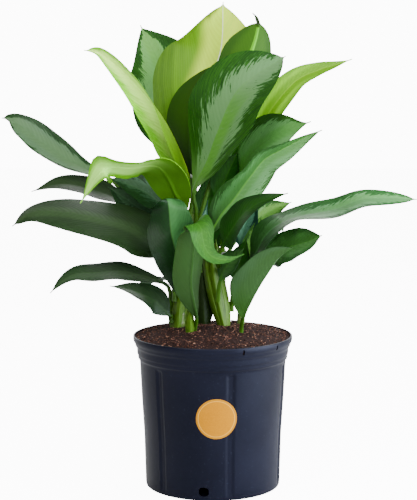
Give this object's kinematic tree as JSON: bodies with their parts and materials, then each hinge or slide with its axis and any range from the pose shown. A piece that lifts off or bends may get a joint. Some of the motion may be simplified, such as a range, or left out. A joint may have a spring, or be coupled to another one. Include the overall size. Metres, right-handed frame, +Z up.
{
  "type": "potted chinese evergreen",
  "caption": "Leafy potted houseplant: variegated leaves on stalks from upright canes, heaped soil, ribbed plastic nursery pot with drain holes.",
  "frame": {"origin": "centre of the pot's foot, on the surface that the pot stands on", "axes": "+Z up along the pot's axis; the plant's front, with the label, faces -Y"},
  "size_m": [0.6663, 0.4178, 0.7791],
  "materials": {
    "pot_plastic": "dark blue-black moulded plastic, satin",
    "soil": "dark brown bark and peat mix, dull",
    "label_paper": "plain warm yellow sticker paper",
    "cane": "green ringed stem with olive leaf sheaths",
    "leaf_lime": "lime green with a pale centre and a white midrib, satin",
    "leaf_dark": "dark green with faint silver flecks, satin",
    "leaf_silver": "silver green centre with a flecked dark green margin",
    "leaf_pale": "pale green centre with a green edge, satin",
    "leaf_grey": "grey green with silver flecks, satin",
    "leaf_green": "bright mid green, satin"
  },
  "bodies": {
    "root": {"pot": "pot_plastic", "soil": "soil", "round_label": "label_paper", "cane_left": "cane", "cane_right": "cane", "cane_back": "cane", "cane_side": "cane", "leaf_crown_back": "leaf_lime", "leaf_crown_right": "leaf_dark", "leaf_crown_front": "leaf_silver", "leaf_crown_inner": "leaf_dark", "leaf_upper_left": "leaf_pale", "leaf_high_left": "leaf_silver", "leaf_upper_right": "leaf_lime", "leaf_right_silver": "leaf_silver", "leaf_right_folded": "leaf_pale", "leaf_front_right": "leaf_dark", "leaf_far_right": "leaf_silver", "leaf_low_right": "leaf_dark", "leaf_front_right_low": "leaf_dark", "leaf_front_curled": "leaf_green", "leaf_front_left": "leaf_dark", "leaf_long_left": "leaf_grey", "leaf_far_left": "leaf_grey", "leaf_left_arching": "leaf_lime", "leaf_mid_left": "leaf_grey", "leaf_inner_left": "leaf_silver", "leaf_low_left": "leaf_dark", "leaf_lowest_left": "leaf_dark", "leaf_inner_shaded": "leaf_dark", "leaf_inner_low": "leaf_dark", "leaf_inner_right": "leaf_silver", "leaf_small_right": "leaf_lime", "leaf_rear_centre_high": "leaf_silver", "leaf_rear_right_high": "leaf_silver", "leaf_rear_left_high": "leaf_silver", "leaf_rear_centre": "leaf_dark", "leaf_rear_left": "leaf_silver", "leaf_rear_right": "leaf_silver", "leaf_rear_left_low": "leaf_dark", "leaf_rear_right_low": "leaf_dark"}
  },
  "joints": []
}
